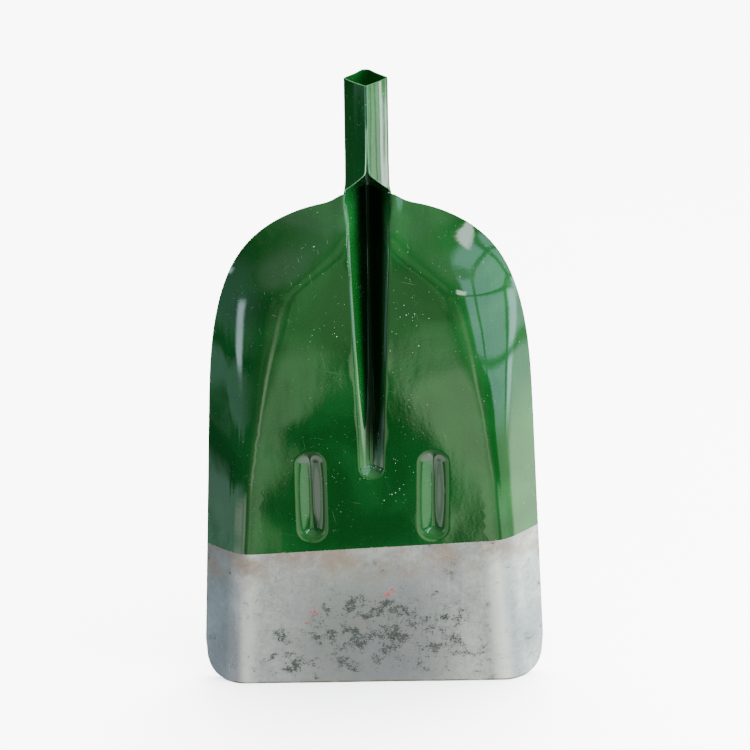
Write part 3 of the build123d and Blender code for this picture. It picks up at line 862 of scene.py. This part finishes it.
def bare_steel():
    material, g, place, (x, _, z), far_side = new_material("bare_steel")
    edge = g.node("ShaderNodeAttribute", attribute_name="edge").outputs["Fac"]

    cloud = g.noise(place, 15, 6, 0.62, 0.4)
    mottle = g.add(g.mul(cloud, 0.6), g.mul(g.noise(place, 190, 5, 0.7), 0.4))
    colour = g.mix(g.step(mottle, 0.36, 0.64), (0.335, 0.302, 0.350), (0.580, 0.510, 0.570))
    grain = g.noise(place, 1100, 2, 0.7)
    colour = g.mix(g.mul(g.step(grain, 0.35, 0.75), 0.55), colour, (0.19, 0.172, 0.20))
    rolled = g.noise(g.scale(place, 420, 60, 9), 1.0, 4, 0.6)
    colour = g.mix(g.mul(g.step(rolled, 0.5, 0.85), 0.35), colour, (0.62, 0.55, 0.61))

    # painted highlight along the folds, stronger on the right fold than the left; painted shade in the
    # middle and on the left wall
    across = g.math("ABSOLUTE", x)
    fold = g.math("SUBTRACT", across, g.mul(g.math("ADD", z, LENGTH / 1000), -FOLD_TAPER))
    fold_highlight = g.step(g.math("ABSOLUTE", g.math("SUBTRACT", fold, 0.1325)), 0.015, 0.0)
    fold_highlight = g.mul(fold_highlight, g.level(g.step(x, -0.02, 0.02), 0.45, 0.80))
    colour = g.mix(fold_highlight, colour, (0.84, 0.76, 0.80))
    middle_and_left_shade = g.add(g.mul(g.spot(x, z, -4, 40, 115, 135), 0.85), g.mul(g.step(x, -0.131, -0.142), 0.62))
    colour = g.mix(middle_and_left_shade, colour, (0.190, 0.172, 0.205))

    # heat and flux tint under the paint line
    below = g.math("SUBTRACT", g.add(g.mul(x, PAINT_SLOPE), (PAINT_LINE - LENGTH) / 1000), z)
    ragged = g.mul(g.math("SUBTRACT", g.noise(place, 55, 5, 0.6), 0.5), 0.034)
    band = g.step(g.add(below, ragged), 0.050, 0.016)
    warm = g.mul(band, g.step(g.noise(place, 38, 5, 0.6), 0.30, 0.66))
    colour = g.mix(g.mul(warm, 0.90), colour, (0.29, 0.200, 0.172))
    specked = g.mul(band, g.step(g.noise(place, 420, 4, 0.7), 0.56, 0.68))
    colour = g.mix(g.mul(specked, 0.50), colour, (0.16, 0.125, 0.105))

    # rust-dark blotches in the middle of the band
    near = g.math("MAXIMUM", g.spot(x, z, 12, 58, 135, 62), g.mul(g.spot(x, z, -10, 95, 52, 22), 0.9))
    near = g.math("MAXIMUM", near, g.mul(g.spot(x, z, -75, 24, 70, 26), 0.9))
    crust = g.noise(place, 70, 7, 0.66, 0.25)
    fine = g.noise(place, 520, 5, 0.78)
    rusty = g.add(g.mul(crust, 0.54), g.mul(fine, 0.46), g.mul(near, 0.085))
    blotch = g.step(rusty, 0.599, 0.624)
    halo = g.step(g.add(crust, g.mul(near, 0.12)), 0.55, 0.72)
    colour = g.mix(g.mul(halo, 0.65), colour, (0.20, 0.205, 0.21))
    browner = g.mix(g.step(g.noise(place, 120, 3), 0.4, 0.6), (0.014, 0.014, 0.016), (0.036, 0.026, 0.020))
    colour = g.mix(g.mul(blotch, 0.92), colour, browner)
    pits = g.mul(g.specks(place, 620, 0.26, 0.80), g.add(g.mul(near, 0.75), 0.18))
    colour = g.mix(g.mul(pits, 0.8), colour, (0.06, 0.055, 0.05))

    # shapeless traces of red paint
    where = g.add(
        g.spot(x, z, 15, 108, 9, 10),
        g.spot(x, z, -60, 86, 10, 6),
        g.spot(x, z, -68, 73, 5, 4),
        g.spot(x, z, -11, 70, 5, 5),
    )
    fleck = g.step(g.add(g.noise(place, 430, 3, 0.6), g.mul(where, 0.15)), 0.665, 0.69)
    fleck = g.mul(fleck, g.step(where, 0.25, 0.5), g.math("SUBTRACT", 1.0, far_side))
    colour = g.mix(g.mul(fleck, 0.95), colour, (0.34, 0.012, 0.022))

    # the ground edge: a thin brown line and small burrs
    low = g.step(z, (2.6 - LENGTH) / 1000, (0.8 - LENGTH) / 1000)
    colour = g.mix(g.mul(low, g.step(g.noise(place, 60, 3), 0.28, 0.55), 0.85), colour, (0.15, 0.095, 0.060))
    bright = g.mul(g.step(edge, 0.9, 0.1), g.math("SUBTRACT", 1.0, low, True))
    colour = g.mix(g.mul(bright, 0.6), colour, (0.66, 0.67, 0.68))

    lines = g.add(
        scratches(g, place, 0.08, 1500, 22, 0.74),
        scratches(g, place, -0.35, 1300, 26, 0.76),
        scratches(g, place, 1.2, 1300, 30, 0.77),
    )
    lines = g.math("MINIMUM", lines, 1.0)
    colour = g.mix(g.mul(lines, 0.25), colour, (0.70, 0.71, 0.72))

    rough = g.add(
        g.level(g.step(cloud, 0.3, 0.7), 0.42, 0.30), g.mul(warm, 0.10), g.mul(blotch, 0.28),
        g.mul(g.step(grain, 0.4, 0.7), 0.08), g.mul(fleck, 0.2),
    )
    metal = g.math("SUBTRACT", 0.93, g.add(g.mul(blotch, 0.6), g.mul(fleck, 0.9), g.mul(warm, 0.15)), True)
    heights = g.add(
        g.mul(g.noise(place, 14, 1.0), 0.5), g.mul(grain, 0.006), g.mul(crust, 0.05), g.mul(blotch, 0.03),
        g.mul(pits, -0.05), g.mul(lines, -0.01),
    )
    bump = g.node("ShaderNodeBump", {"Strength": 1.0, "Distance": 0.001, "Height": heights}).outputs[0]
    shader = g.node(
        "ShaderNodeBsdfPrincipled",
        {"Base Color": colour, "Roughness": rough, "Metallic": metal, "Normal": bump, "IOR": 1.5},
    )
    g.node("ShaderNodeOutputMaterial", {0: shader.outputs[0]})
    return material


green, steel = green_enamel(), bare_steel()
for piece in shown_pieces():
    piece.data.materials.clear()
    piece.data.materials.append(steel if piece.name.startswith("steel") else green)


# ---------------------------------------------------------------- floor
def add_floor():
    bpy.ops.mesh.primitive_plane_add(size=60, location=(0, 0, -LENGTH / 1000 - 0.0005))
    floor = bpy.context.object
    floor.name = "studio_floor"
    material, g, place, _, _ = new_material("pale_floor")
    shade = g.mix(g.noise(place, 3, 3), (0.95, 0.95, 0.95), (0.98, 0.98, 0.98))
    cover = g.node(
        "ShaderNodeBsdfPrincipled", {"Base Color": shade, "Roughness": 0.95, "Specular IOR Level": 0.0}
    )
    g.node("ShaderNodeOutputMaterial", {0: cover.outputs[0]})
    floor.data.materials.append(material)
    # the enamel should mirror the dim studio below the horizon, not the white floor
    floor.visible_glossy = False
    floor.visible_diffuse = False


# ---------------------------------------------------------------- surroundings
class Sky(Graph):
    """Surroundings painted by direction: dz is up, around is the turn from straight ahead to the right."""

    def __init__(self, tree):
        super().__init__(tree)
        self.aim = self.node("ShaderNodeTexCoord").outputs["Generated"]
        self.dx, dy, self.dz = self.node("ShaderNodeSeparateXYZ", {0: self.aim}).outputs
        self.front = self.mul(dy, -1.0)
        self.around = self.math("ARCTAN2", self.dx, self.front)
        # a pale even ceiling over a dim room
        ceiling = self.step(self.dz, -0.06, 0.10)
        self.light = self.mix(ceiling, (0.045, 0.075, 0.060), (0.80, 0.84, 0.86))

    def between(self, value, low, high, soft):
        return self.mul(self.step(value, low - soft, low + soft), self.step(value, high + soft, high - soft))

    def turn(self, low, high, soft):
        return self.between(self.around, low, high, soft)

    def rise(self, low, high, soft):
        return self.between(self.dz, low, high, soft)

    def other(self, mask):
        return self.math("SUBTRACT", 1.0, mask)

    def most(self, *masks):
        total = masks[0]
        for mask in masks[1:]:
            total = self.math("MAXIMUM", total, mask)
        return total

    def cloud(self, scale, detail, size):
        """Soft noise about zero."""
        return self.mul(self.math("SUBTRACT", self.noise(self.aim, scale, detail), 0.5), size)

    def paint(self, mask, colour):
        self.light = self.mix(mask, self.light, colour)


def paint_front(sky):
    """Green glow low in front, with a dark wedge straight ahead that widens downward."""
    off_axis = sky.add(sky.math("ABSOLUTE", sky.add(sky.dx, 0.0065)), sky.cloud(14, 2, 0.026))
    wedge = sky.level(sky.step(sky.dz, -0.43, -0.51), 0.013, 0.044)
    past = sky.math("SUBTRACT", off_axis, wedge)
    aside = sky.math("ABSOLUTE", sky.around)
    glow = sky.mul(
        sky.step(past, -0.010, 0.016),
        sky.step(aside, 0.62, 0.16),
        sky.rise(-0.62, -0.37, 0.05),
        sky.step(sky.front, 0.2, 0.5),
    )
    sky.paint(glow, sky.mix(sky.step(sky.dx, -0.03, 0.03), (1.25, 1.85, 1.15), (2.05, 3.05, 1.85)))
    # dim green room mirrored by the upper blade
    veil = sky.mul(sky.rise(-0.40, 0.0, 0.06), sky.step(aside, 0.75, 0.30))
    patchy = sky.level(sky.step(sky.noise(sky.aim, 8, 2), 0.40, 0.62), 0.35, 1.0)
    sky.paint(sky.mul(veil, patchy, sky.other(glow)), (0.58, 1.02, 0.58))
    # neutral fill mirrored by the bare steel, brighter to the sides
    fill = sky.mul(sky.step(sky.dz, -0.55, -0.64), sky.step(sky.dz, -0.98, -0.80))
    sky.paint(sky.mul(fill, 0.9), (0.50, 0.50, 0.535))
    flare = sky.add(sky.mul(sky.turn(-0.70, -0.24, 0.08), 0.8), sky.step(sky.around, 0.0, 0.30))
    low_front = sky.mul(sky.step(sky.dz, -0.55, -0.62), sky.step(sky.front, 0.0, 0.3))
    sky.paint(sky.mul(flare, low_front, 0.9), (3.7, 3.6, 3.6))


def paint_window(sky):
    """Window on the right with dark bars, greener and dimmer low down."""
    around, dz = sky.around, sky.dz
    low_right = sky.step(dz, -0.34, -0.42)
    near_edge = sky.level(sky.step(dz, -0.28, -0.36), 0.52, 0.78)
    window = sky.mul(
        sky.step(sky.math("SUBTRACT", around, near_edge), -0.03, 0.03),
        sky.step(around, 2.05, 1.95),
        sky.rise(-0.62, 0.62, 0.05),
    )
    posts = sky.most(sky.turn(1.08, 1.12, 0.012), sky.turn(1.50, 1.53, 0.015))
    cross = sky.most(
        sky.rise(-0.15, -0.11, 0.012), sky.rise(-0.31, -0.28, 0.012), sky.turn(0.66, 0.70, 0.012)
    )
    bars = sky.most(
        sky.mul(posts, sky.other(low_right)),
        sky.mul(cross, sky.step(around, 1.34, 1.26)),
        sky.rise(0.10, 0.14, 0.012),
    )
    facing = sky.step(around, 1.16, 1.30)
    power = sky.add(
        sky.level(facing, 4.2, 3.9),
        sky.mul(low_right, sky.level(facing, -2.2, 3.1)),
        sky.mul(sky.turn(1.13, 1.21, 0.02), sky.other(low_right), 7.0),
        sky.mul(sky.step(around, 1.60, 1.68), -2.9),
        sky.mul(sky.turn(1.67, 1.76, 0.025), 12.0),
    )
    tint = sky.mix(sky.step(around, 1.05, 1.45), (0.55, 0.90, 1.00), (0.93, 1.0, 1.0))
    tint = sky.mix(sky.mul(low_right, sky.step(around, 1.66, 1.60)), tint, (0.68, 1.00, 0.68))
    lit = sky.node("ShaderNodeVectorMath", {0: tint, "Scale": power}, operation="SCALE").outputs[0]
    sky.paint(sky.mul(window, sky.other(sky.mul(bars, 0.85))), lit)
    # one bright slanting pane, mirrored on the right shoulder
    slant = sky.math("SUBTRACT", around, sky.mul(dz, 0.55))
    pane = sky.mul(sky.between(slant, 0.46, 0.60, 0.02), sky.rise(-0.12, -0.045, 0.012))
    sky.paint(pane, (12.0, 13.5, 13.5))
    # light that fills the ribs' left flanks
    beside = sky.mul(sky.turn(0.60, 1.20, 0.06), sky.rise(-0.62, -0.47, 0.015), sky.step(around, 1.1, 0.9))
    sky.paint(beside, (2.0, 3.3, 2.2))


def paint_left_room(sky):
    """Dim bluish room on the left: dark middle, lighter floor and one narrow far window."""
    room = sky.mul(sky.step(sky.around, -0.55, -1.05), sky.step(sky.around, -1.66, -1.60))
    sky.paint(sky.mul(room, sky.step(sky.dz, 0.75, 0.35)), (0.030, 0.085, 0.075))
    tall = sky.add(sky.dz, sky.cloud(16, 3, 0.09))
    sky.paint(sky.mul(room, sky.between(tall, -0.388, -0.315, 0.012), 0.85), (0.75, 1.15, 1.20))
    sky.paint(sky.mul(room, sky.between(tall, -0.265, 0.02, 0.025), 0.85), (0.52, 0.78, 0.88))
    sky.paint(sky.mul(room, sky.step(tall, -0.425, -0.455)), (0.85, 1.35, 1.25))
    # light that fills the ribs' right flanks, with a darker line in it
    low = sky.rise(-0.62, -0.475, 0.015)
    sky.paint(sky.mul(sky.turn(-1.15, -0.60, 0.05), low, 0.85), (3.0, 3.2, 2.9))
    sky.paint(sky.mul(sky.turn(-0.80, -0.70, 0.04), low, 0.7), (1.1, 1.5, 1.3))


def paint_highlights(sky):
    """Slim strips: one down each fold and one on the left shoulder."""
    slim = sky.add(sky.turn(-0.40, -0.33, 0.025), sky.mul(sky.turn(0.36, 0.42, 0.03), 0.9))
    fading = sky.level(sky.step(sky.dz, -0.44, -0.50), 0.8, 0.22)
    sky.paint(sky.mul(slim, sky.rise(-0.72, -0.30, 0.06), fading), (3.4, 3.9, 2.9))
    sky.paint(sky.mul(sky.turn(-1.02, -0.93, 0.03), sky.rise(-0.31, -0.17, 0.03)), (6.0, 8.0, 8.6))


def paint_behind(sky):
    """Tall soft boxes, mirrored only by the hollow side."""
    behind = sky.mul(sky.step(sky.front, -0.30, -0.50), sky.step(sky.dz, 0.10, -0.10))
    boxes = sky.add(sky.turn(2.05, 2.55, 0.10), sky.turn(-2.75, -2.35, 0.10))
    sky.paint(behind, (0.26, 0.30, 0.29))
    sky.paint(sky.mul(behind, boxes, sky.rise(-0.62, -0.02, 0.06)), (2.6, 2.75, 2.75))


def add_surroundings():
    world = bpy.data.worlds.new("studio")
    bpy.context.scene.world = world
    world.use_nodes = True
    sky = Sky(world.node_tree)
    paint_front(sky)
    paint_window(sky)
    paint_left_room(sky)
    paint_highlights(sky)
    paint_behind(sky)
    lit = sky.node("ShaderNodeBackground", {0: sky.light, 1: 1.0})
    sky.node("ShaderNodeOutputWorld", {0: lit.outputs[0]})


# ---------------------------------------------------------------- lamps and camera
def add_lamp(name, kind, energy, colour):
    """A lamp that lights surfaces but isn't mirrored by them."""
    lamp = bpy.data.lights.new(name, kind)
    lamp.energy = energy
    lamp.color = colour
    holder = bpy.data.objects.new(name, lamp)
    holder.visible_glossy = False
    bpy.context.collection.objects.link(holder)
    return lamp, holder


def add_lamps():
    # one broad soft light from above and a little behind keeps the floor pale
    lamp, holder = add_lamp("ceiling", "SUN", 26.0, (1.0, 0.99, 0.97))
    lamp.angle = math.radians(80)
    holder.rotation_euler = (math.radians(-14), math.radians(10), 0)
    # daylight from the right models the walls and the channel
    lamp, holder = add_lamp("daylight", "AREA", 190.0, (0.94, 1.0, 0.99))
    lamp.shape = "RECTANGLE"
    lamp.size, lamp.size_y = 1.1, 1.4
    holder.location = (2.10, -0.52, 0.10)
    holder.rotation_euler = (Vector((0, 0, -0.33)) - holder.location).to_track_quat("-Z", "Y").to_euler()


ELEVATION = math.radians(28.0)  # above the normal of the blade's back
DISTANCE = 2.0
AIM_SIDE, AIM_HEIGHT = 4.5, 355.2
ROLL = math.radians(0.85)
FILM_WIDTH, LENS = 36.0, 101.6544


def add_camera():
    target = Vector((AIM_SIDE / 1000, -SOCKET_DEPTH / 1000, (AIM_HEIGHT - LENGTH) / 1000))
    data = bpy.data.cameras.new("photo_camera")
    data.sensor_width = FILM_WIDTH
    data.lens = LENS
    camera = bpy.data.objects.new("photo_camera", data)
    outward = Vector((0, -math.cos(ELEVATION), math.sin(ELEVATION)))
    camera.location = target + outward * DISTANCE
    camera.rotation_mode = "QUATERNION"
    camera.rotation_quaternion = (-outward).to_track_quat("-Z", "Y") @ Quaternion((0, 0, 1), -ROLL)
    bpy.context.collection.objects.link(camera)
    bpy.context.scene.camera = camera


add_floor()
add_surroundings()
add_lamps()
add_camera()
